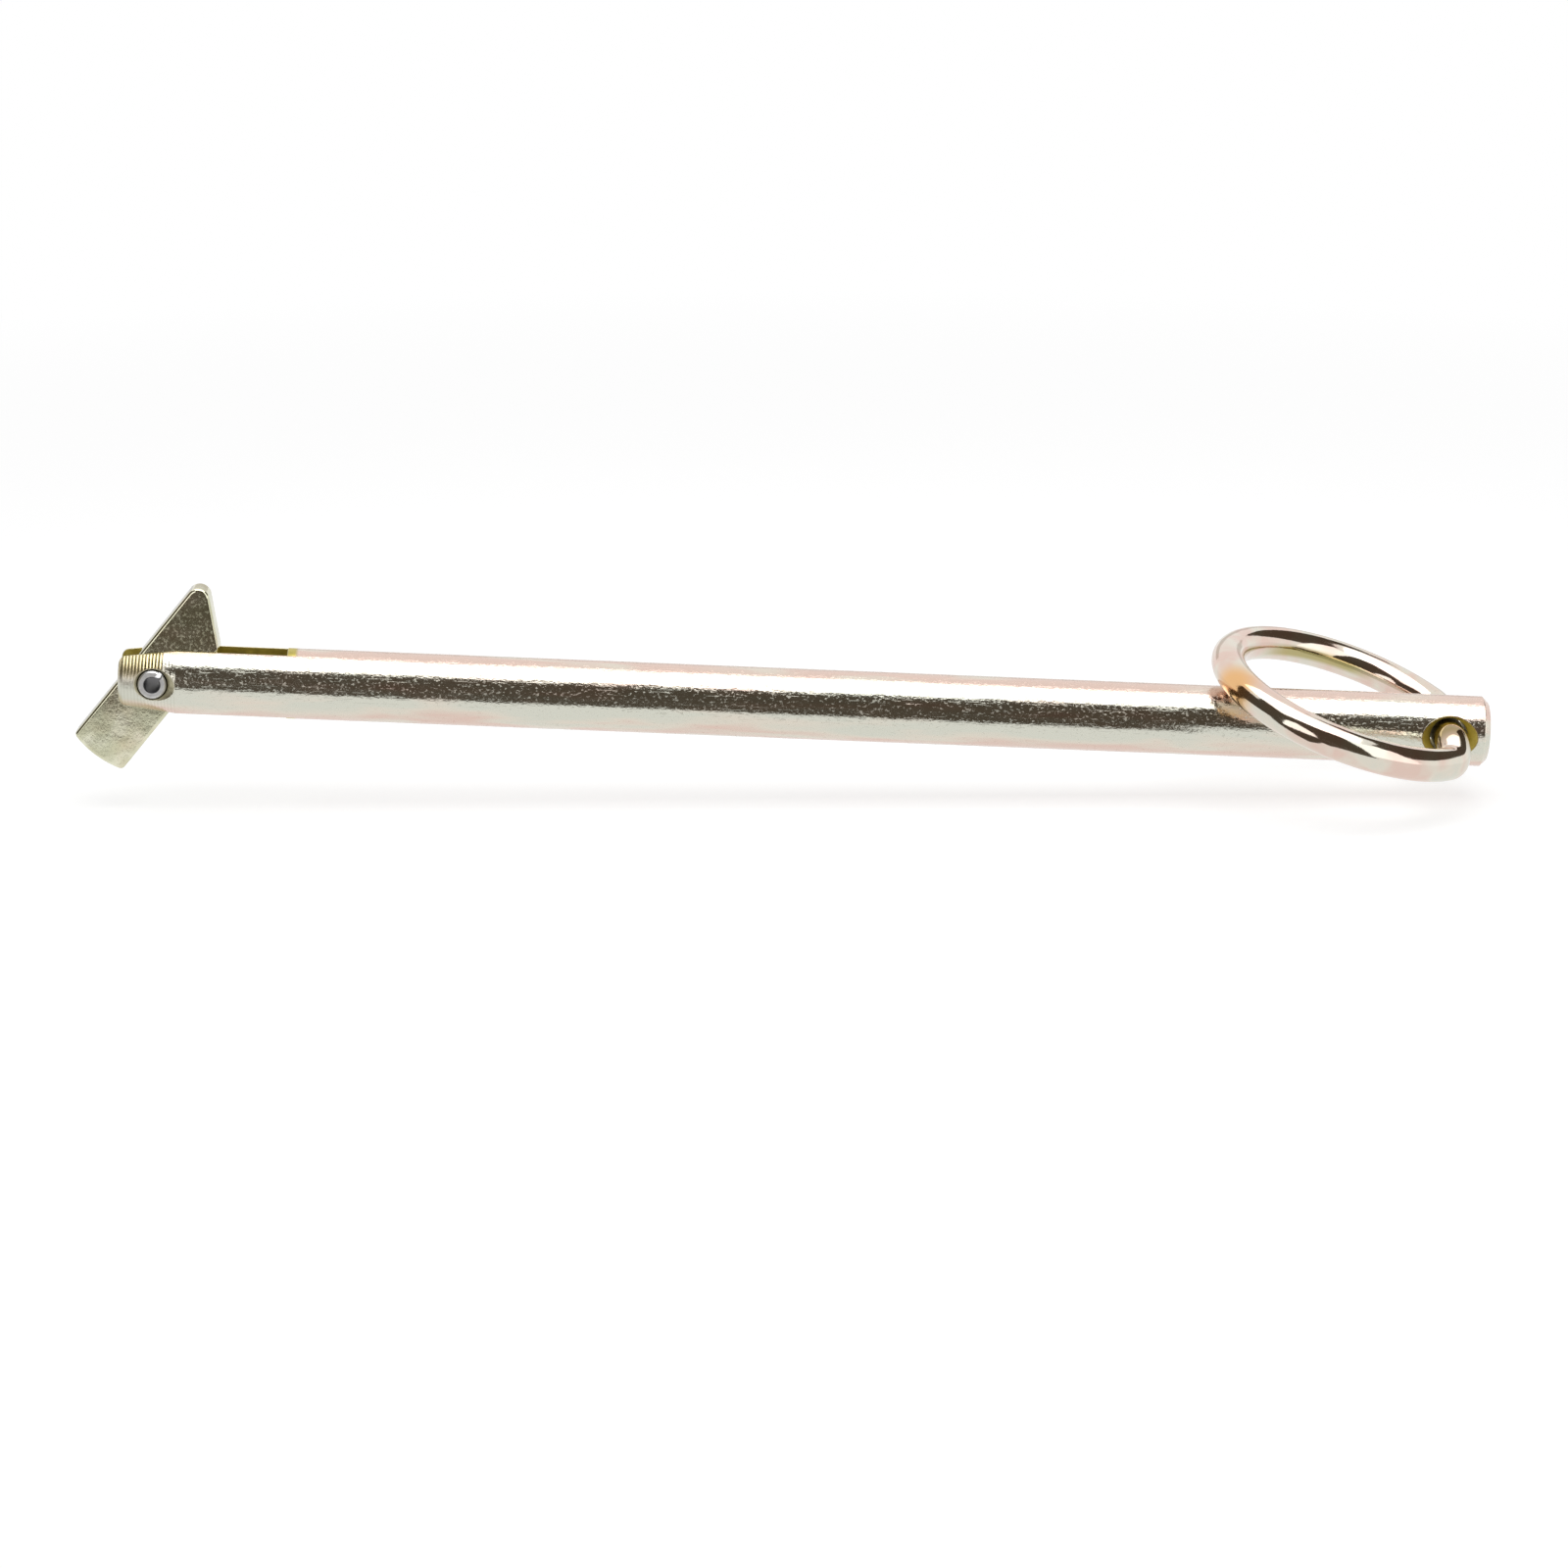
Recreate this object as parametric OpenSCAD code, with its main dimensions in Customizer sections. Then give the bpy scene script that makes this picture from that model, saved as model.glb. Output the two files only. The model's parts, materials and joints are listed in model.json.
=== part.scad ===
// Toggle-locking hitch pin: a round steel bar whose forked nose holds a swinging flat toggle,
// with a bent wire pull ring hinged through the other end.
//
// Frame: X along the bar, nose at -X and ring at +X, Z up, both hinges along Y.
// Origin: on the bar's axis, half way along the bar. Units: millimetres.

/* [Shank] */
// Diameter of the bar
shank_d = 15.875; // [13:0.125:20]
// Length of the bar, nose face to ring end
shank_l = 308.5; // [200:0.5:400]
// Length of the tapered nose
nose_l = 13; // [10:0.5:18]
// How much the nose narrows, all told
nose_drop = 3; // [1:0.25:4]
// Radius round the nose's front edge
nose_round = 1.8; // [0.4:0.1:2]
// Chamfer round the ring end
end_chamfer = 1.3; // [0.5:0.1:2.5]

/* [Slot] */
// Depth of the slot from the nose face
slot_depth = 38.2; // [34:0.2:50]
// Gap on each side of the toggle
slot_gap = 0.2; // [0.1:0.05:0.4]
// Radius of the disc cutter that ends the slot
slot_cutter_r = 50; // [30:5:80]

/* [Pivot] */
// Distance of the pivot from the nose face
pivot_setback = 7.85; // [6.5:0.05:10]
// Outer diameter of the roll pin
roll_pin_d = 6.35; // [5:0.05:7.7]
// Bore of the roll pin
roll_pin_bore = 3.5; // [2:0.1:4]
// How far the roll pin's ends lie below the bar's surface
roll_pin_recess = 0.5; // [0.3:0.05:1.5]
// Width of the slit along the roll pin
roll_pin_slit = 1.2; // [0.6:0.1:1.6]
// Where the slit sits, in degrees up from +X
roll_pin_slit_angle = 52; // [0:1:360]
// Chamfer round each end of the roll pin
roll_pin_chamfer = 0.35; // [0.1:0.05:0.6]
// Depth of the countersink at each end of the pivot hole
pivot_sink = 1.45; // [0.5:0.05:2]

/* [Toggle] */
// Thickness of the toggle
toggle_t = 6.35; // [5:0.05:8]
// Width of the toggle
toggle_w = 13.4; // [11:0.1:14]
// How far the pivot lies from the toggle's middle line, towards its long edge
toggle_offset = 0.4; // [0:0.1:1]
// Reach of the short arm from the pivot
toggle_short_arm = 22; // [16:0.1:28]
// Length of the long arm's short edge, from the pivot
toggle_short_edge = 14.8; // [10:0.1:17]
// Length of the long arm's long edge, from the pivot
toggle_long_edge = 26.8; // [20:0.1:28]
// Radius of the long arm's tip
toggle_tip_r = 2.6; // [0.5:0.1:3]
// Radial clearance of the toggle on the roll pin
toggle_run = 0.08; // [0.03:0.01:0.1]
// Long arm's angle up from +X at rest
toggle_angle = 53.2; // [0:0.2:180]

/* [Pull ring] */
// Diameter of the ring's wire
wire_d = 7.6; // [6:0.1:9.5]
// Diameter of the loop, measured at the middle of the wire
loop_d = 57.6; // [50:0.2:80]
// How far the loop's neck stands outside the straight wire ends, on each side
neck_out = 8.3; // [6:0.1:12]
// Distance of the neck behind the ring's hinge line
neck_back = 0.6; // [0:0.1:4]
// Twist of the loop about its own length, out of line with its ends
loop_twist = 7.6; // [0:0.2:12]
// Distance of the loop's plane below the hinge line
loop_drop = 1.2; // [0:0.1:2]
// Straight length of each wire end outside the bar
stub_out = 1.7; // [1:0.1:3]
// Control length of the bend beside each straight end
bend_lead = 2.2; // [1.5:0.1:4]
// Space between the two wire ends inside the bar
end_space = 4; // [2:0.5:8]
// How far the loop stands at rest above where it would touch the bar, in degrees
ring_lift = 2; // [0.5:0.1:75]
// Distance of the ring's hole from the ring end
ring_setback = 9.25; // [8:0.05:14]
// Radial clearance of the wire in its hole
ring_play = 0.45; // [0.1:0.05:0.8]
// Depth of the countersink at each end of the ring's hole
ring_sink = 2.1; // [1:0.1:2.6]

/* [Hidden] */

$fn = 96;
// Length by which a cutting shape runs past the surface that it cuts
over = 1;

shank_r = shank_d / 2;
nose_r = shank_r - nose_drop / 2;
nose_taper = atan((shank_r - nose_r) / nose_l);
// The taper starts this far inside the nose's rounding, so that line and arc cross cleanly
nose_bite = 0.001;
nose_x = -shank_l / 2;
ring_end_x = shank_l / 2;

slot_w = toggle_t + 2 * slot_gap;
slot_cutter_x = nose_x + slot_depth - slot_cutter_r;

pivot_x = nose_x + pivot_setback;
pivot_skin_r = nose_r + pivot_setback * tan(nose_taper);
roll_pin_r = roll_pin_d / 2;
roll_pin_l = 2 * (pivot_skin_r - roll_pin_recess);

wire_r = wire_d / 2;
loop_r = loop_d / 2;
stub_y = shank_r + stub_out;
neck_angle = asin((stub_y + neck_out) / loop_r);
loop_centre = [-neck_back - loop_r * cos(neck_angle), 0, -loop_drop];
loop_reach = loop_r - loop_centre.x;
ring_tilt = ring_lift + atan(loop_drop / loop_reach)
    + asin((shank_r + wire_r) / norm([loop_reach, loop_drop]));
ring_hole_x = ring_end_x - ring_setback;
ring_hole_r = wire_r + ring_play;
// The ring is made in lengths. Each starts this far inside the one before it, a shade thinner,
// so that their surfaces never coincide.
lap = 0.2;
lap_step = 0.02;

plated_steel = "#c8bd96";
bright_plate = "#cbb9a4";
plain_steel = "#8f8f8c";

function unit(v) = v / norm(v);

// Hole along Y, with a 45 degree countersink of the given depth at each surface
module sunk_hole(r, skin_r, sink) {
    rotate([90, 0, 0])
        cylinder(h = 2 * (skin_r + over), r = r, center = true);
    for (turn = [90, -90])
        rotate([turn, 0, 0])
            translate([0, 0, skin_r - sink])
                cylinder(h = sink + over, r1 = r, r2 = r + sink + over);
}

// Half the bar's section, radius across and length up: rounded nose, taper, plain bar, chamfer
module shank_profile() {
    round_x = nose_r - nose_round * (1 - sin(nose_taper)) / cos(nose_taper);
    polygon([
        [0, 0],
        [round_x, 0],
        [round_x, nose_round] + (nose_round - nose_bite) * [cos(nose_taper), -sin(nose_taper)],
        [shank_r, nose_l],
        [shank_r, shank_l - end_chamfer],
        [shank_r - end_chamfer, shank_l],
        [0, shank_l]
    ]);
    translate([round_x, nose_round])
        circle(r = nose_round);
}

// Slot along the bar, from beyond the nose to the disc cutter's arc
module slot_cut() {
    translate([slot_cutter_x, 0, 0]) {
        rotate([90, 0, 0])
            cylinder(h = slot_w, r = slot_cutter_r, center = true, $fn = 180);
        translate([-slot_depth - over, -slot_w / 2, -shank_r - over])
            cube([slot_depth + over, slot_w, 2 * (shank_r + over)]);
    }
}

module shank() {
    color(plated_steel)
        difference() {
            translate([nose_x, 0, 0])
                rotate([0, 90, 0])
                    rotate_extrude()
                        shank_profile();
            slot_cut();
            translate([pivot_x, 0, 0])
                sunk_hole(roll_pin_r, pivot_skin_r, pivot_sink);
            translate([ring_hole_x, 0, 0])
                sunk_hole(ring_hole_r, shank_r, ring_sink);
        }
}

// Toggle's outline, pivot at the origin and long arm along +X
module toggle_profile() {
    long_side = toggle_w / 2 - toggle_offset;
    short_side = long_side - toggle_w;
    cut_angle = atan(toggle_w / (toggle_long_edge - toggle_short_edge));
    tip_back = toggle_tip_r / tan(cut_angle / 2);
    tip_down = tip_back * [cos(cut_angle), sin(cut_angle)];
    difference() {
        intersection() {
            union() {
                polygon([
                    [-toggle_short_arm, short_side],
                    [toggle_short_edge, short_side],
                    [toggle_long_edge, long_side] - tip_down,
                    [toggle_long_edge - tip_back, long_side],
                    [-toggle_short_arm, long_side]
                ]);
                translate([toggle_long_edge - tip_back, long_side - toggle_tip_r])
                    circle(r = toggle_tip_r);
            }
            union() {
                circle(r = toggle_short_arm);
                translate([0, short_side])
                    square([toggle_long_edge, toggle_w]);
            }
        }
        circle(r = roll_pin_r + toggle_run);
    }
}

module toggle() {
    color(plated_steel)
        translate([pivot_x, 0, 0])
            rotate([90, -toggle_angle, 0])
                linear_extrude(toggle_t, center = true)
                    toggle_profile();
}

// Half the roll pin's wall, radius across and length up, with a chamfer at each end
module roll_pin_profile() {
    half_l = roll_pin_l / 2;
    polygon([
        [roll_pin_bore / 2, -half_l],
        [roll_pin_r - roll_pin_chamfer, -half_l],
        [roll_pin_r, roll_pin_chamfer - half_l],
        [roll_pin_r, half_l - roll_pin_chamfer],
        [roll_pin_r - roll_pin_chamfer, half_l],
        [roll_pin_bore / 2, half_l]
    ]);
}

module pivot_roll_pin() {
    color(plain_steel)
        translate([pivot_x, 0, 0])
            difference() {
                rotate([90, 0, 0])
                    rotate_extrude()
                        roll_pin_profile();
                rotate([0, -roll_pin_slit_angle, 0])
                    translate([0, -roll_pin_l / 2 - over, -roll_pin_slit / 2])
                        cube([roll_pin_d, roll_pin_l + 2 * over, roll_pin_slit]);
            }
}

// Wire of radius r bent in one plane: it leaves p along the unit vector t and ends at q
module wire_arc(p, t, q, r) {
    chord = q - p;
    half_turn = acos(t * chord / norm(chord));
    normal = unit(cross(t, chord));
    side = cross(normal, t);
    bend_r = norm(chord) / 2 / sin(half_turn);
    centre = p + bend_r * side;
    lap_turn = lap / bend_r * 180 / PI;
    multmatrix([
        [-side.x, t.x, normal.x, centre.x],
        [-side.y, t.y, normal.y, centre.y],
        [-side.z, t.z, normal.z, centre.z]
    ])
        rotate([0, 0, -lap_turn])
            rotate_extrude(angle = 2 * half_turn + lap_turn)
                translate([bend_r, 0])
                    circle(r = r, $fn = 48);
}

// One end of the ring, on the +Y or -Y side: two bends from the loop to a straight end in the hole.
// The two bends meet where they share a tangent.
module ring_end(side) {
    out = [0, cos(loop_twist), sin(loop_twist)] * side;
    neck = loop_centre + loop_r * (cos(neck_angle) * [1, 0, 0] + sin(neck_angle) * out);
    neck_dir = sin(neck_angle) * [1, 0, 0] - cos(neck_angle) * out;
    stub = [0, side * stub_y, 0];
    stub_dir = [0, -side, 0];
    span = stub - neck;
    neck_lead = (span * span / 2 - bend_lead * (span * stub_dir))
        / (span * neck_dir + bend_lead * (1 - neck_dir * stub_dir));
    corner_a = neck + neck_lead * neck_dir;
    corner_b = stub - bend_lead * stub_dir;
    meet = (bend_lead * corner_a + neck_lead * corner_b) / (bend_lead + neck_lead);
    wire_arc(neck, neck_dir, meet, wire_r - lap_step);
    wire_arc(meet, unit(corner_b - corner_a), stub, wire_r - 2 * lap_step);
    translate(stub - lap * stub_dir)
        rotate([90 * side, 0, 0])
            cylinder(h = stub_y + lap - end_space / 2, r = wire_r - 3 * lap_step, $fn = 48);
}

module ring_loop() {
    translate(loop_centre)
        rotate([loop_twist, 0, 0])
            rotate([0, 0, neck_angle])
                rotate_extrude(angle = 360 - 2 * neck_angle, $fn = 120)
                    translate([loop_r, 0])
                        circle(r = wire_r, $fn = 48);
}

module pull_ring() {
    color(bright_plate)
        translate([ring_hole_x, 0, 0])
            rotate([0, ring_tilt, 0]) {
                ring_loop();
                ring_end(1);
                ring_end(-1);
            }
}

shank();
toggle();
pivot_roll_pin();
pull_ring();
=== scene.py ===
"""Looks for the toggle-locking hitch pin: plated steel materials, a plain studio and the camera."""
import json
import math

import bpy
from mathutils import Matrix, Vector


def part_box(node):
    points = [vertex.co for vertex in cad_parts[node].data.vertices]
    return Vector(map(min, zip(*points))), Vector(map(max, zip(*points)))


MM = 0.001

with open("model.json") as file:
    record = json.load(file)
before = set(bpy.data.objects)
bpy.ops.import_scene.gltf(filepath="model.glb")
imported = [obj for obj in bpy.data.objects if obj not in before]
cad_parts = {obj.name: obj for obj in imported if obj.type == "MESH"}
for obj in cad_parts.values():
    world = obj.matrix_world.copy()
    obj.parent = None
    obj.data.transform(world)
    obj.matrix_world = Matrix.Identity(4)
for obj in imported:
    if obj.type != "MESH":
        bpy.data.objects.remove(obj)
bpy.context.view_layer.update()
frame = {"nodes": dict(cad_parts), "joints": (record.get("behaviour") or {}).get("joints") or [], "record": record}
nodes = frame["nodes"]
joints = {joint["name"]: joint for joint in frame["joints"]}
mounts = {mount["name"]: mount for mount in frame["record"]["mounts"]}

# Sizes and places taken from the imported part, in mm
bar_low, bar_high = (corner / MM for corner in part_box("shank"))
NOSE_X, RING_END_X, BAR_R = bar_low.x, bar_high.x, bar_high.z
PIVOT_X = joints["toggle_swing"]["pos_m"][0] / MM
RING_HOLE_X = joints["ring_swing"]["pos_m"][0] / MM
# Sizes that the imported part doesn't name, in mm and degrees
NOSE_L, NOSE_R = 13.0, 6.44
NOSE_EDGE_L, RING_EDGE_L = 2.0, 1.35  # just past the nose's rounding and the ring end's chamfer
SLOT_W, SLOT_L = 6.75, 38.2
PIN_R, PIN_BORE_R = 3.175, 1.75
TOGGLE_LEAN = 53.2
TOGGLE_Y, TOGGLE_SIDE = 3.175, 6.3  # half its thickness, and its long side's distance from the pivot
WIRE_R = 3.8
# How far edges are rounded, in mm: the toggle's as geometry, the others' as shading
TOGGLE_EDGE_R, BAR_EDGE_R, PIN_EDGE_R = 0.8, 0.3, 0.12

TAPER_X = NOSE_X + NOSE_L
SLOT_END_X = NOSE_X + SLOT_L
SLOT_Y = SLOT_W / 2

# The floor, in metres
FLOOR_HALF = 3.0
FLOOR_GAP = 0.5 * MM
FLOOR_PASSES = 6
LOOSE_TURNS = (0, 90, 180)  # where a joint with no limit is tried, in degrees
PAPER_GREY = 0.5
PAPER_FILL = 0.66
PAPER_MIRRORED = 0.93
FADE_FROM, FADE_TO = 0.3, 0.7

# The cards stand round a point on the bar near its ring, in metres
CARD_CENTRE_X = 0.1
PANEL_R, PANEL_STEPS = 1.2, 12
BRIGHT_LEFT_R = 1.15
DARK_FLOOR_LIFT = 0.3 * MM

# The lamp and the white surroundings
SOFTBOX_SIZE = (1.0, 0.76)
SOFTBOX_PLACE = (0, -0.17, 0.75)
SOFTBOX_LEVEL = 1.6 * math.pi
WORLD_LEVEL, WORLD_WHITE = 0.4, 1.0

# The camera: angles in degrees, the rest in metres, and the lens in mm
CAMERA_AZIMUTH, CAMERA_ELEVATION, CAMERA_ROLL = 1.681, 15.217, 2.721
CAMERA_DISTANCE = 1.1
CAMERA_AIM = Vector((-4.002, 0, -18.892)) * MM
SENSOR_MM, LENS_MM = 36, 111.445


def rgb(red, green, blue):
    return (red, green, blue, 1.0)


# Yellow zinc, and the painted light, shade, shadow, highlight and reflection colours on it
PINK = rgb(0.76, 0.58, 0.50)
PALE = rgb(0.76, 0.70, 0.60)
GREEN = rgb(0.69, 0.69, 0.60)
STRAW = rgb(0.80, 0.68, 0.40)
ORANGE = rgb(0.82, 0.48, 0.21)
OLIVE = rgb(0.46, 0.38, 0.10)
GOLD = rgb(0.70, 0.60, 0.16)
LIT_LEMON = rgb(0.98, 0.93, 0.32)
SAND = rgb(0.62, 0.58, 0.40)
EDGE_HIGHLIGHT_CREAM = rgb(0.92, 0.86, 0.66)
GROOVE_SHADE = rgb(0.16, 0.13, 0.03)
PIN_GAP_SHADOW = rgb(0.06, 0.05, 0.03)
SIDE_DARK_REFLECTION = rgb(0.20, 0.17, 0.11)
WIRE_OLIVE = rgb(0.44, 0.38, 0.14)
HOLE_REFLECTION_BROWN = rgb(0.36, 0.27, 0.13)
PLATE_DARK = rgb(0.60, 0.60, 0.38)
PLATE_MIDDLE = rgb(0.72, 0.72, 0.50)
PLATE_LIGHT = rgb(0.84, 0.83, 0.62)
# Spring steel, and the painted shade in the pin's bore
STEEL_DARK = rgb(0.66, 0.66, 0.66)
STEEL_LIGHT = rgb(0.82, 0.82, 0.81)
BORE_SHADE = rgb(0.07, 0.07, 0.075)
# Cards and surroundings
CARD_DARK = rgb(0.080, 0.063, 0.047)
CARD_GREY = rgb(0.7, 0.67, 0.64)
WHITE = rgb(1, 1, 1)


def put(value, socket):
    """Links an output to a socket, or sets the socket's number or colour."""
    if isinstance(value, bpy.types.NodeSocket):
        socket.id_data.links.new(value, socket)
    else:
        socket.default_value = value


def add(tree, kind, inputs=(), **settings):
    """A new node with these settings. Its inputs are given by name or number."""
    node = tree.nodes.new(kind)
    for name, value in settings.items():
        setattr(node, name, value)
    for name, value in dict(inputs).items():
        put(value, node.inputs[name])
    return node


class Graph:
    """A metal's node tree, with short calls for the nodes that it is built from. Lengths are in mm."""

    def __init__(self, name):
        self.material = bpy.data.materials.new(name)
        self.material.use_nodes = True
        self.tree = self.material.node_tree
        self.shader = self.tree.nodes["Principled BSDF"]
        metres = self.add("ShaderNodeTexCoord").outputs["Object"]
        scale = self.add("ShaderNodeVectorMath", {0: metres, "Scale": 1 / MM}, operation="SCALE")
        self.place = scale.outputs["Vector"]
        self.x, self.y, self.z = self.add("ShaderNodeSeparateXYZ", {0: self.place}).outputs

    def add(self, kind, inputs=(), **settings):
        return add(self.tree, kind, inputs, **settings)

    def vector(self, operation, a, b):
        node = self.add("ShaderNodeVectorMath", {0: a, 1: b}, operation=operation)
        return node.outputs["Vector"]

    def dot(self, a, b):
        node = self.add("ShaderNodeVectorMath", {0: a, 1: b}, operation="DOT_PRODUCT")
        return node.outputs["Value"]

    def length(self, a):
        return self.add("ShaderNodeVectorMath", {0: a}, operation="LENGTH").outputs["Value"]

    def maths(self, operation, *values):
        return self.add("ShaderNodeMath", enumerate(values), operation=operation).outputs[0]

    def times(self, a, b):
        return self.maths("MULTIPLY", a, b)

    def size(self, value):
        return self.maths("ABSOLUTE", value)

    def from_point(self, point):
        return self.vector("SUBTRACT", self.place, point)

    def from_hinge(self, x):
        """Distance from the axis of the hinge that crosses the bar at x."""
        return self.length(self.vector("MULTIPLY", self.from_point((x, 0, 0)), (1, 0, 1)))

    def steps(self, value, low, high):
        """Goes smoothly from 0 at low to 1 at high. Low may be the larger."""
        inputs = {"Value": value, "From Min": low, "From Max": high}
        return self.add("ShaderNodeMapRange", inputs, interpolation_type="SMOOTHSTEP").outputs[0]

    def span(self, value, low, high):
        """Carries 0..1 to low..high."""
        inputs = {"Value": value, "To Min": low, "To Max": high}
        return self.add("ShaderNodeMapRange", inputs).outputs[0]

    def mix(self, factor, a, b):
        """Colour a where the factor is 0, b where it is 1."""
        # The colour sockets share their names with the number sockets, so they go by number
        node = self.add("ShaderNodeMix", {"Factor": factor, 6: a, 7: b}, data_type="RGBA")
        return node.outputs[2]

    def ramp(self, value, *stops):
        """Colour ramp through (place, colour) stops."""
        node = self.add("ShaderNodeValToRGB", {0: value})
        elements = node.color_ramp.elements
        while len(elements) < len(stops):
            elements.new(1)
        for element, (place, colour) in zip(elements, stops):
            element.position = place
            element.color = colour
        return node.outputs["Color"]

    def noise(self, along, across, shift=0.0, detail=2.0, roughness=0.5, distortion=0.0):
        """Noise around 0.5. Its features are about along mm long on X and across mm wide. Shift
        picks another pattern."""
        scale = (1 / along, 1 / across, 1 / across)
        stretched = self.add("ShaderNodeMapping", {"Vector": self.place, "Scale": scale})
        inputs = {"Vector": stretched.outputs[0], "W": shift, "Scale": 1, "Detail": detail,
                  "Roughness": roughness, "Distortion": distortion}
        return self.add("ShaderNodeTexNoise", inputs, noise_dimensions="4D").outputs[0]

    def bump(self, height, normal=None, depth=0.0, strength=1.0):
        """Surface relief, whose height 0..1 stands for the depth."""
        inputs = {"Height": height, "Strength": strength, "Distance": depth * MM}
        if normal is not None:
            inputs["Normal"] = normal
        return self.add("ShaderNodeBump", inputs).outputs[0]

    def rounded(self, radius):
        """Normal rounded over the edges."""
        return self.add("ShaderNodeBevel", {"Radius": radius * MM}, samples=8).outputs[0]

    def edges(self, rounded):
        """1 along the edges that a rounded normal turns over."""
        flat = self.add("ShaderNodeNewGeometry").outputs["True Normal"]
        return self.steps(self.dot(rounded, flat), 0.99, 0.9)

    def plating(self, pinkness, shift, patch, stretch):
        """The soft streaks of green, pale and pink in yellow zinc. Pinkness moves them to pink.
        A streak is about patch mm wide, and stretch times as long."""
        streaks = self.noise(patch * stretch, patch, shift, distortion=0.3)
        place = self.maths("ADD", streaks, pinkness)
        return self.ramp(place, (0.38, GREEN), (0.52, PALE), (0.68, PINK))

    def finish(self, colour, roughness, normal):
        put(colour, self.shader.inputs["Base Color"])
        put(roughness, self.shader.inputs["Roughness"])
        put(normal, self.shader.inputs["Normal"])
        self.shader.inputs["Metallic"].default_value = 1.0
        return self.material


def bar_material():
    g = Graph("yellow_zinc_bar")
    # How far a point lies below the turned skin tells the skin from the slot, holes and countersinks
    slope = (BAR_R - NOSE_R) / NOSE_L
    taper = g.maths("MULTIPLY_ADD", g.maths("SUBTRACT", g.x, NOSE_X), slope, NOSE_R)
    skin = g.maths("MINIMUM", taper, BAR_R)
    depth = g.maths("SUBTRACT", skin, g.length(g.vector("MULTIPLY", g.place, (0, 1, 1))))
    from_nose = g.maths("SUBTRACT", g.x, NOSE_X + NOSE_EDGE_L)
    from_ring_end = g.maths("SUBTRACT", RING_END_X - RING_EDGE_L, g.x)
    between_ends = g.steps(g.maths("MINIMUM", from_nose, from_ring_end), -0.05, 0.05)
    cut = g.times(g.steps(depth, 0.08, 0.2), between_ends)
    off_middle = g.size(g.y)
    in_slot = g.times(g.steps(off_middle, SLOT_Y + 0.1, SLOT_Y + 0.03),
                      g.steps(g.x, SLOT_END_X + 2, SLOT_END_X + 1))
    inside = g.maths("MAXIMUM", cut, in_slot)
    on_taper = g.steps(g.x, TAPER_X + 0.1, TAPER_X - 0.1)
    turned = g.times(on_taper, g.maths("SUBTRACT", 1.0, inside))
    # The turned lines run all round the taper, but are painted mostly on its upper side, where the light picks
    # them out
    lit_top_side = g.times(g.steps(g.z, 0.5, 3.5), g.steps(g.x, TAPER_X - 2.6, TAPER_X - 3.4))
    top_lit_turning = g.times(turned, lit_top_side)
    waves = {"Vector": g.place, "Scale": 0.42, "Distortion": 0.4, "Detail": 2, "Detail Scale": 1.5}
    groove = g.add("ShaderNodeTexWave", waves, wave_type="BANDS", bands_direction="X",
                   wave_profile="SIN").outputs[1]

    ripple = g.noise(6.0, 1.6, shift=3.0, detail=1.0)
    grain = g.noise(0.9, 0.5, roughness=0.55)
    lines = g.noise(7.0, 0.3, shift=7.0, detail=1.0, roughness=0.4, distortion=0.8)
    rounded = g.rounded(BAR_EDGE_R)
    normal = g.bump(ripple, rounded, depth=0.04)
    normal = g.bump(grain, normal, depth=0.05)
    normal = g.bump(g.steps(lines, 0.62, 0.72), normal, depth=0.01)
    turning = g.maths("MAXIMUM", top_lit_turning, g.times(turned, 0.15))
    normal = g.bump(groove, normal, depth=0.1, strength=turning)

    # The bar is pinker towards its top and bottom: a painted sheen, for the pink that the plating shows where it
    # is seen at a grazing angle, over its own streaks
    pinkness = g.span(g.steps(g.size(g.z), BAR_R * 0.3, BAR_R * 0.95), -0.1, 0.2)
    colour = g.plating(pinkness, shift=0.0, patch=4.0, stretch=6.0)
    # Painted light and shade: straw over the turned lines on the taper's top, where the light catches them, and
    # painted shade in their grooves
    colour = g.mix(g.span(top_lit_turning, 0.0, 0.85), colour, STRAW)
    groove_shade = g.times(turned, g.steps(groove, 0.5, 0.15))
    colour = g.mix(g.times(groove_shade, g.span(top_lit_turning, 0.1, 0.9)), colour, GROOVE_SHADE)
    # Cut faces, darker partly in the plating's own olive and gold and partly as painted shade in the recesses:
    # everywhere, in the pin's countersinks, in the ring's, and the wall of the pin's hole
    deep = g.ramp(g.noise(3, 3, shift=5.0), (0.35, OLIVE), (0.65, GOLD))
    near_pin = g.times(g.steps(g.x, TAPER_X + 3, TAPER_X + 2),
                       g.steps(off_middle, SLOT_Y + 0.5, SLOT_Y + 1))
    deep = g.mix(near_pin, deep, SAND)
    # Painted light: the ring's countersink is painted a bright lemon where it catches the light
    lit_ring_countersink = g.times(g.steps(g.x, RING_HOLE_X - 12, RING_HOLE_X - 10), g.steps(depth, 3.2, 1.2))
    deep = g.mix(lit_ring_countersink, deep, LIT_LEMON)
    # Painted shadow: the wall of the pin's hole is painted near black, for the shadow in the gap round the roll
    # pin
    pin_gap_shadow = g.steps(g.from_hinge(PIVOT_X), PIN_R + 0.425, PIN_R + 0.225)
    deep = g.mix(pin_gap_shadow, deep, PIN_GAP_SHADOW)
    colour = g.mix(inside, colour, deep)
    # Painted highlight: cream along the rounded edges
    colour = g.mix(g.times(g.edges(rounded), 0.7), colour, EDGE_HIGHLIGHT_CREAM)

    roughness = g.span(g.noise(2.0, 1.0, shift=11.0), 0.08, 0.18)
    flecks = g.steps(g.noise(0.8, 0.5, shift=13.0, roughness=0.55), 0.54, 0.68)
    roughness = g.maths("MULTIPLY_ADD", flecks, 0.34, roughness)
    roughness = g.maths("MAXIMUM", roughness, g.times(inside, 0.4))
    by_nose = g.span(g.steps(g.x, NOSE_X + 9, NOSE_X + 4), 0.0, 0.38)
    roughness = g.maths("MAXIMUM", roughness, by_nose)
    return g.finish(colour, roughness, normal)


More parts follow.
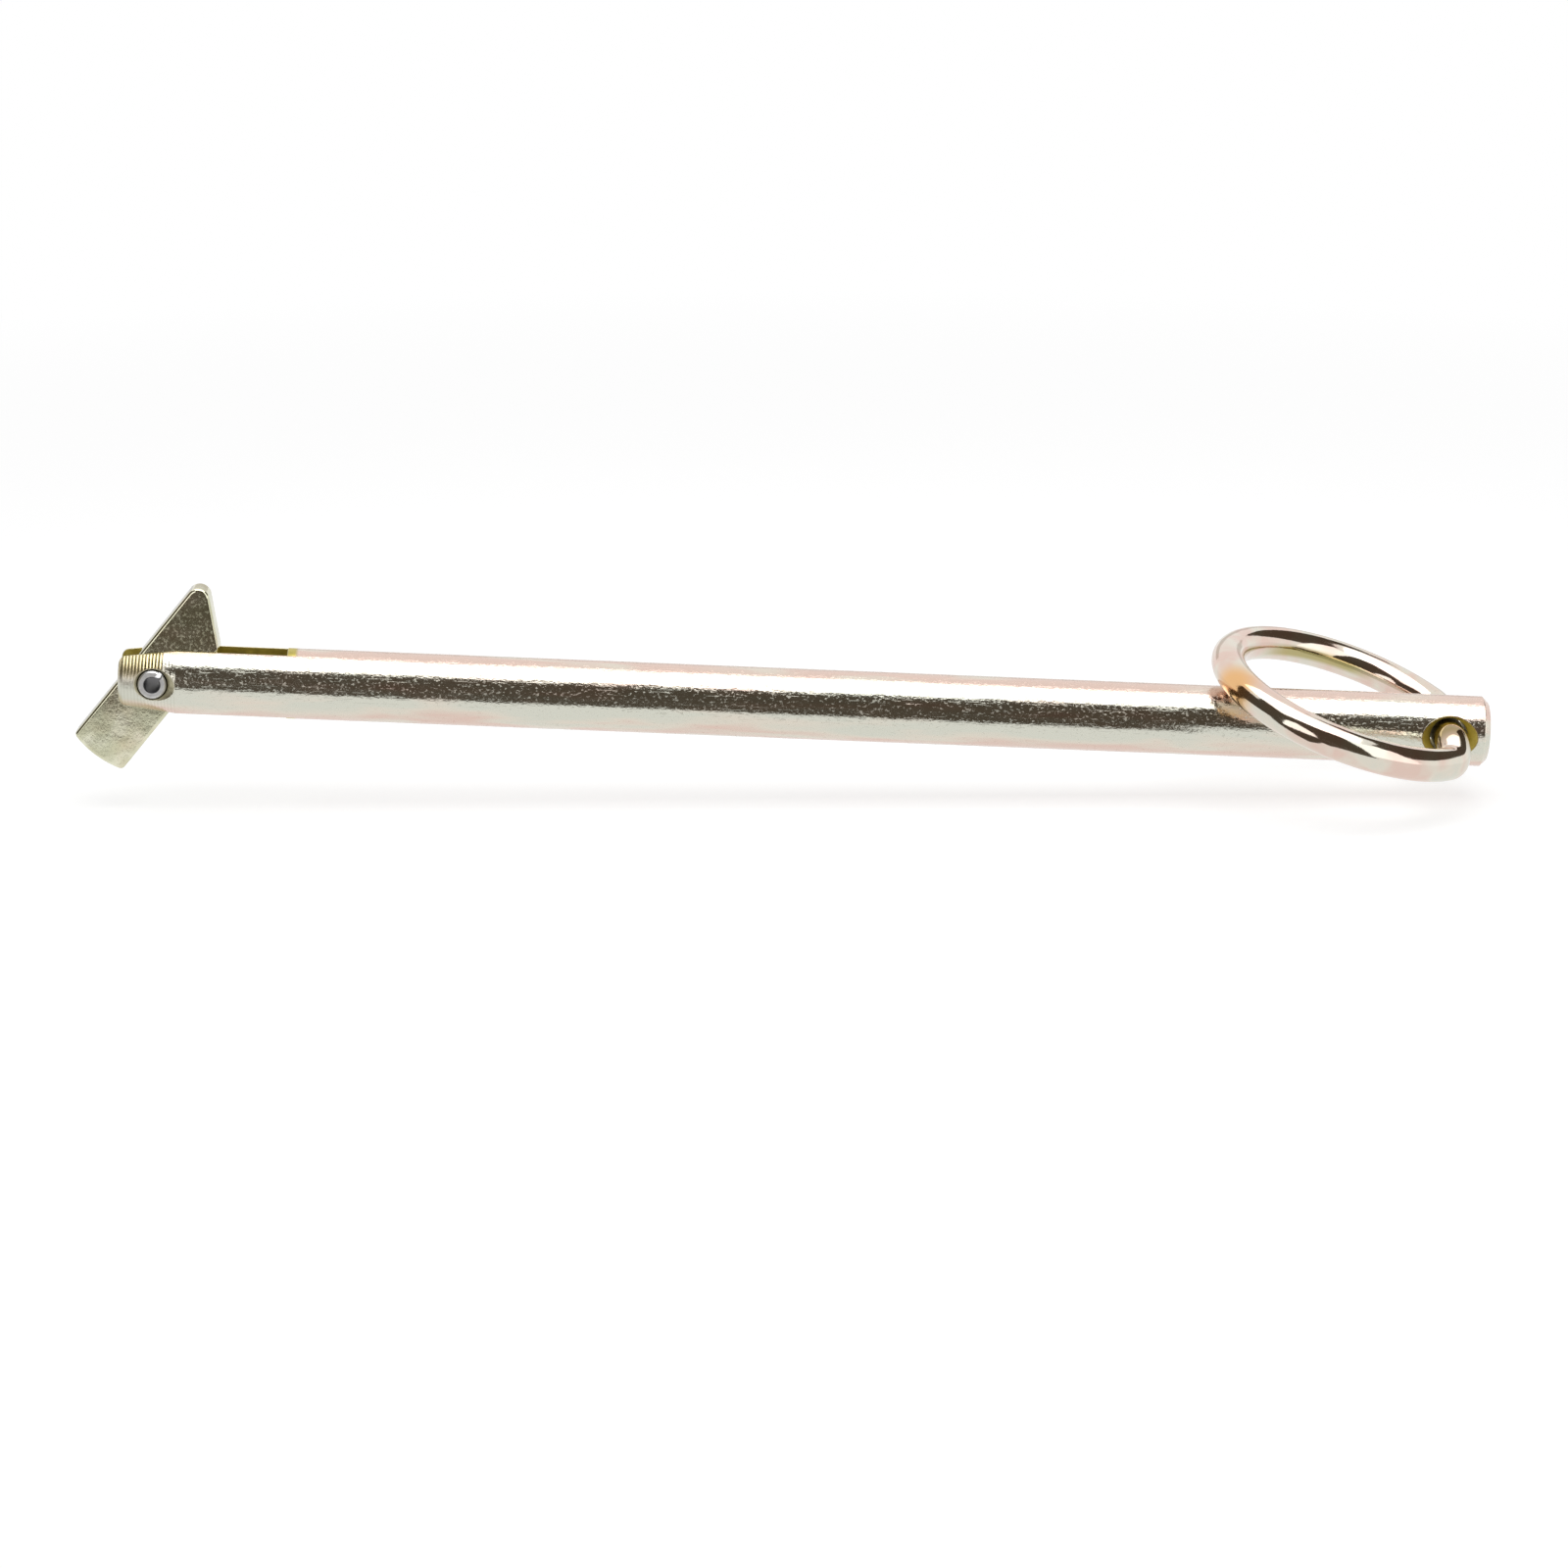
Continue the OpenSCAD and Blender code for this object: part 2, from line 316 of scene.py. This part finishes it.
def toggle_material():
    g = Graph("yellow_zinc_plate")
    # The rolled edges and the sides are smoother than the faces
    off_middle = g.size(g.y)
    face = g.steps(off_middle, TOGGLE_Y - 0.035, TOGGLE_Y - 0.005)
    normal = g.bump(g.noise(6, 6, shift=2.0, detail=1.0), depth=0.14, strength=face)
    grain = g.noise(0.7, 0.7, roughness=0.6)
    normal = g.bump(grain, normal, depth=0.04, strength=g.span(face, 0.2, 1.0))

    patches = g.noise(5, 5, shift=21.0, detail=1.0, distortion=0.6)
    tone = g.ramp(patches, (0.36, PLATE_DARK), (0.55, PLATE_MIDDLE), (0.68, PLATE_LIGHT))
    colour = g.mix(0.3, tone, g.plating(-0.02, shift=4.0, patch=5.0, stretch=1.0))
    # Painted reflection: the sheared side that faces away from the bar is painted darker than the faces, for the
    # dark surroundings that it mirrors
    lean = math.radians(TOGGLE_LEAN)
    across = g.dot(g.from_point((PIVOT_X, 0, 0)), (-math.sin(lean), 0, math.cos(lean)))
    dark_reflection_side = g.times(g.steps(across, TOGGLE_SIDE - 0.3, TOGGLE_SIDE - 0.05),
                      g.steps(off_middle, 2.7, 2.4))
    colour = g.mix(dark_reflection_side, colour, SIDE_DARK_REFLECTION)

    roughness = g.span(g.noise(1.5, 1.5, shift=8.0), 0.12, 0.24)
    flecks = g.steps(g.noise(0.6, 0.6, shift=13.0, roughness=0.55), 0.48, 0.68)
    roughness = g.maths("MULTIPLY_ADD", flecks, 0.2, roughness)
    roughness = g.times(roughness, g.span(face, 0.45, 1.0))
    return g.finish(colour, roughness, normal)


def ring_material():
    g = Graph("yellow_zinc_wire")
    normal = g.bump(g.noise(7.0, 7.0, shift=1.0, detail=1.0), depth=0.15)
    normal = g.bump(g.noise(0.5, 0.5, shift=6.0, roughness=0.6), normal, depth=0.006)

    colour = g.plating(0.08, shift=9.0, patch=8.0, stretch=1.0)
    # Warm patch on the loop, far from the hinge
    warm_place = (RING_HOLE_X - 51, -15, 11)
    warm = g.steps(g.length(g.from_point(warm_place)), 9.0, 3.0)
    colour = g.mix(g.times(warm, 0.95), colour, ORANGE)
    # Olive along the inside of the loop's back half
    loop = mounts["pull_ring"]
    from_loop = g.from_point(tuple(Vector(loop["pos_m"]) / MM))
    off_plane = g.size(g.dot(from_loop, loop["axis"]))
    clear_r = loop["dims"]["r_mm"]
    inner = g.times(g.steps(g.length(from_loop), clear_r + 2.0, clear_r + 0.8),
                    g.steps(off_plane, 1.9, 0.6))
    inner = g.times(inner, g.steps(g.y, 14, 22))
    inner = g.times(inner, g.steps(g.x, RING_HOLE_X - 12, RING_HOLE_X - 20))
    colour = g.mix(g.times(inner, 0.85), colour, WIRE_OLIVE)
    # Painted reflection and shade: brown in the bar's hole, for the gold countersink that the wire mirrors and the
    # shade there, fading beside it
    hole_reflection_and_shade = g.times(g.steps(g.from_hinge(RING_HOLE_X), WIRE_R + 1.0, WIRE_R + 0.1),
                      g.steps(g.size(g.y), 17.0, 11.5))
    colour = g.mix(hole_reflection_and_shade, colour, HOLE_REFLECTION_BROWN)

    roughness = g.span(g.noise(2.0, 2.0, shift=8.0), 0.05, 0.12)
    return g.finish(colour, roughness, normal)


def roll_pin_material():
    g = Graph("plain_spring_steel")
    normal = g.bump(g.noise(0.3, 0.3, roughness=0.6), g.rounded(PIN_EDGE_R), depth=0.006)
    grey = g.ramp(g.noise(1, 1), (0.3, STEEL_DARK), (0.7, STEEL_LIGHT))
    # Painted shade: the pin's bore is painted near black
    bore_shade = g.steps(g.from_hinge(PIVOT_X), PIN_BORE_R + 0.25, PIN_BORE_R + 0.1)
    return g.finish(g.mix(bore_shade, grey, BORE_SHADE), 0.42, normal)


def dress(name, material):
    mesh = nodes[name].data
    mesh.materials.clear()
    mesh.materials.append(material)


def round_edges(name, radius):
    """Rolls the plate's edges over by a radius in mm, as stamping and plating leave them."""
    node = nodes[name]
    weld = node.modifiers.new("weld", "WELD")
    weld.merge_threshold = 1e-6
    flat = node.modifiers.new("flat", "DECIMATE")
    flat.decimate_type = "DISSOLVE"
    flat.angle_limit = math.radians(0.5)
    bevel = node.modifiers.new("bevel", "BEVEL")
    bevel.width = radius * MM
    bevel.segments = 4
    bevel.use_clamp_overlap = False
    bevel.loop_slide = False
    bevel.limit_method = "ANGLE"
    bevel.angle_limit = math.radians(40)
    node.modifiers.new("normals", "WEIGHTED_NORMAL")


def turned_points(joint, angle):
    """Where a joint's child has its points when it has turned by an angle from rest."""
    turn = Matrix.Rotation(math.radians(angle), 3, Vector(joint["axis"]))
    at = Vector(joint["pos_m"])
    return [at + turn @ (vertex.co - at) for vertex in nodes[joint["child"]].data.vertices]


def floor_line():
    """Height in metres and slope of the floor: it leans as the pin does when it lies on its toggle and
    ring, and is low enough for both joints' limits."""
    slope = 0.0
    toggle, ring = (turned_points(joints[name], 0) for name in ("toggle_swing", "ring_swing"))
    for _ in range(FLOOR_PASSES):
        left, right = (min(group, key=lambda p: p.z - slope * p.x) for group in (toggle, ring))
        slope = (right.z - left.z) / (right.x - left.x)
    lowest = min(point.z - slope * point.x
                 for joint in joints.values()
                 for angle in joint.get("range_deg") or LOOSE_TURNS
                 for point in turned_points(joint, angle))
    return lowest - FLOOR_GAP, slope


def bare_tree(name):
    """A new material and its empty node tree."""
    material = bpy.data.materials.new(name)
    material.use_nodes = True
    tree = material.node_tree
    tree.nodes.clear()
    return material, tree


def emission(name, colour, strength=1.0):
    """A material that glows evenly."""
    material, tree = bare_tree(name)
    glow = add(tree, "ShaderNodeEmission", {"Color": colour, "Strength": strength})
    add(tree, "ShaderNodeOutputMaterial", {"Surface": glow.outputs[0]})
    return material


def floor_material():
    """White paper that keeps the shadow, and shows as plain white in the metal."""
    material, tree = bare_tree("floor_paper")
    grey = rgb(PAPER_GREY, PAPER_GREY, PAPER_GREY)
    diffuse = add(tree, "ShaderNodeBsdfDiffuse", {"Color": grey})
    fill = add(tree, "ShaderNodeEmission", {"Strength": PAPER_FILL})
    paper = add(tree, "ShaderNodeAddShader", {0: diffuse.outputs[0], 1: fill.outputs[0]})
    # Far from the pin, where the lamp's light falls off, the paper is plain white
    place = add(tree, "ShaderNodeTexCoord").outputs["Object"]
    distance = add(tree, "ShaderNodeVectorMath", {0: place}, operation="LENGTH").outputs["Value"]
    fade = {"Value": distance, "From Min": FADE_FROM, "From Max": FADE_TO}
    far = add(tree, "ShaderNodeMapRange", fade).outputs[0]
    white = add(tree, "ShaderNodeEmission")
    faded = add(tree, "ShaderNodeMixShader", {0: far, 1: paper.outputs[0], 2: white.outputs[0]})
    mirrored = rgb(PAPER_MIRRORED, PAPER_MIRRORED, PAPER_MIRRORED)
    mirror = add(tree, "ShaderNodeEmission", {"Color": mirrored})
    glossy = add(tree, "ShaderNodeLightPath").outputs["Is Glossy Ray"]
    shown = add(tree, "ShaderNodeMixShader", {0: glossy, 1: faded.outputs[0], 2: mirror.outputs[0]})
    add(tree, "ShaderNodeOutputMaterial", {"Surface": shown.outputs[0]})
    return material


def card(name, corners, material, seen_by_camera=False, faces=((0, 1, 2, 3),)):
    """A piece of the studio. Only the metal sees it, unless the camera does too."""
    mesh = bpy.data.meshes.new(name)
    mesh.from_pydata(corners, [], faces)
    mesh.materials.append(material)
    obj = bpy.data.objects.new(name, mesh)
    bpy.context.collection.objects.link(obj)
    if not seen_by_camera:
        obj.visible_camera = False
        obj.visible_diffuse = False
        obj.visible_shadow = False


def around(azimuth, elevation, radius):
    """A point round the pin: azimuth 0 is the camera's side, 90 the ring's end."""
    azimuth, elevation = math.radians(azimuth), math.radians(elevation)
    return (CARD_CENTRE_X + radius * math.sin(azimuth) * math.cos(elevation),
            -radius * math.cos(azimuth) * math.cos(elevation),
            radius * math.sin(elevation))


def panel(name, azimuths, elevations, material):
    """A card bent round the pin, between two azimuths and two elevations in degrees."""
    start, end = azimuths
    across = [start + (end - start) * step / PANEL_STEPS for step in range(PANEL_STEPS + 1)]
    corners = [around(azimuth, elevation, PANEL_R) for elevation in elevations for azimuth in across]
    row = len(across)
    faces = [(i, i + 1, i + row + 1, i + row) for i in range(PANEL_STEPS)]
    card(name, corners, material, faces=faces)


def cards():
    """The floor, and the dark and bright cards that the metal reflects."""
    base, slope = floor_line()

    def level(x, y, lift=0.0):
        return (x, y, base + slope * x + lift)

    half = FLOOR_HALF
    card("floor", [level(-half, -half), level(half, -half), level(half, half), level(-half, half)],
         floor_material(), seen_by_camera=True)
    dark = emission("dark_card", CARD_DARK)
    grey = emission("grey_card", CARD_GREY)
    bright = emission("bright_card", WHITE, 1.5)

    # The bar reflects a dark floor in front of it, but the ring a bright one
    outline = ((-1.3, -1.0), (0.5, -1.0), (0.17, -0.12), (0.093, -0.12), (0.093, -0.0424),
               (-1.3, -0.267))
    card("dark_floor_card", [level(x, y, DARK_FLOOR_LIFT) for x, y in outline], dark,
         faces=(range(len(outline)),))
    panel("dark_front_card", (-78, 23), (-3, 54), dark)
    panel("dark_left_card", (-104, -78), (-3, 38), dark)
    panel("dark_right_card", (66, 148), (22, 56), dark)
    panel("grey_back_card", (150, 210), (6, 17), grey)
    panel("bright_front_card", (23, 65), (0, 50), bright)
    slanted = ((-55, -2), (-24, -2), (-24, 40), (-36, 40))
    card("bright_left_card", [around(*angles, BRIGHT_LEFT_R) for angles in slanted], bright)


def surroundings():
    """A world that lights the pin softly, and is plain white to the camera and in the metal."""
    world = bpy.data.worlds.new("studio")
    bpy.context.scene.world = world
    world.use_nodes = True
    tree = world.node_tree
    path = add(tree, "ShaderNodeLightPath")
    seen = path.outputs["Is Camera Ray"]
    for ray in ("Is Glossy Ray", "Is Transmission Ray"):
        seen = add(tree, "ShaderNodeMath", {0: seen, 1: path.outputs[ray]}, operation="MAXIMUM",
                   use_clamp=True).outputs[0]
    levels = {"Value": seen, "To Min": WORLD_LEVEL, "To Max": WORLD_WHITE}
    background = tree.nodes["Background"]
    put(WHITE, background.inputs["Color"])
    put(add(tree, "ShaderNodeMapRange", levels).outputs[0], background.inputs["Strength"])


def softbox():
    """The lamp over the pin."""
    light = bpy.data.lights.new("softbox", "AREA")
    light.shape = "RECTANGLE"
    light.size, light.size_y = SOFTBOX_SIZE
    light.energy = SOFTBOX_LEVEL * light.size * light.size_y
    lamp = bpy.data.objects.new("softbox", light)
    lamp.location = SOFTBOX_PLACE
    bpy.context.collection.objects.link(lamp)


def make_camera():
    """From in front and a little above, slightly to the nose's side, and rolled a little."""
    azimuth, elevation, roll = (math.radians(angle)
                                for angle in (CAMERA_AZIMUTH, CAMERA_ELEVATION, CAMERA_ROLL))
    back = Vector((-math.sin(azimuth) * math.cos(elevation),
                   -math.cos(azimuth) * math.cos(elevation),
                   math.sin(elevation)))
    right = (-back).cross(Vector((0, 0, 1))).normalized()
    turn = Matrix.Rotation(roll, 3, back)
    axes = Matrix((turn @ right, turn @ right.cross(-back), back)).transposed()
    data = bpy.data.cameras.new("camera")
    data.sensor_width = SENSOR_MM
    data.lens = LENS_MM
    data.clip_start, data.clip_end = 0.01, 20
    camera = bpy.data.objects.new("camera", data)
    camera.matrix_world = Matrix.Translation(CAMERA_AIM + back * CAMERA_DISTANCE) @ axes.to_4x4()
    bpy.context.collection.objects.link(camera)
    bpy.context.scene.camera = camera


dress("shank", bar_material())
dress("toggle", toggle_material())
dress("pull_ring", ring_material())
dress("pivot_roll_pin", roll_pin_material())
round_edges("toggle", TOGGLE_EDGE_R)
cards()
surroundings()
softbox()
make_camera()
bpy.context.scene.view_settings.view_transform = "Standard"
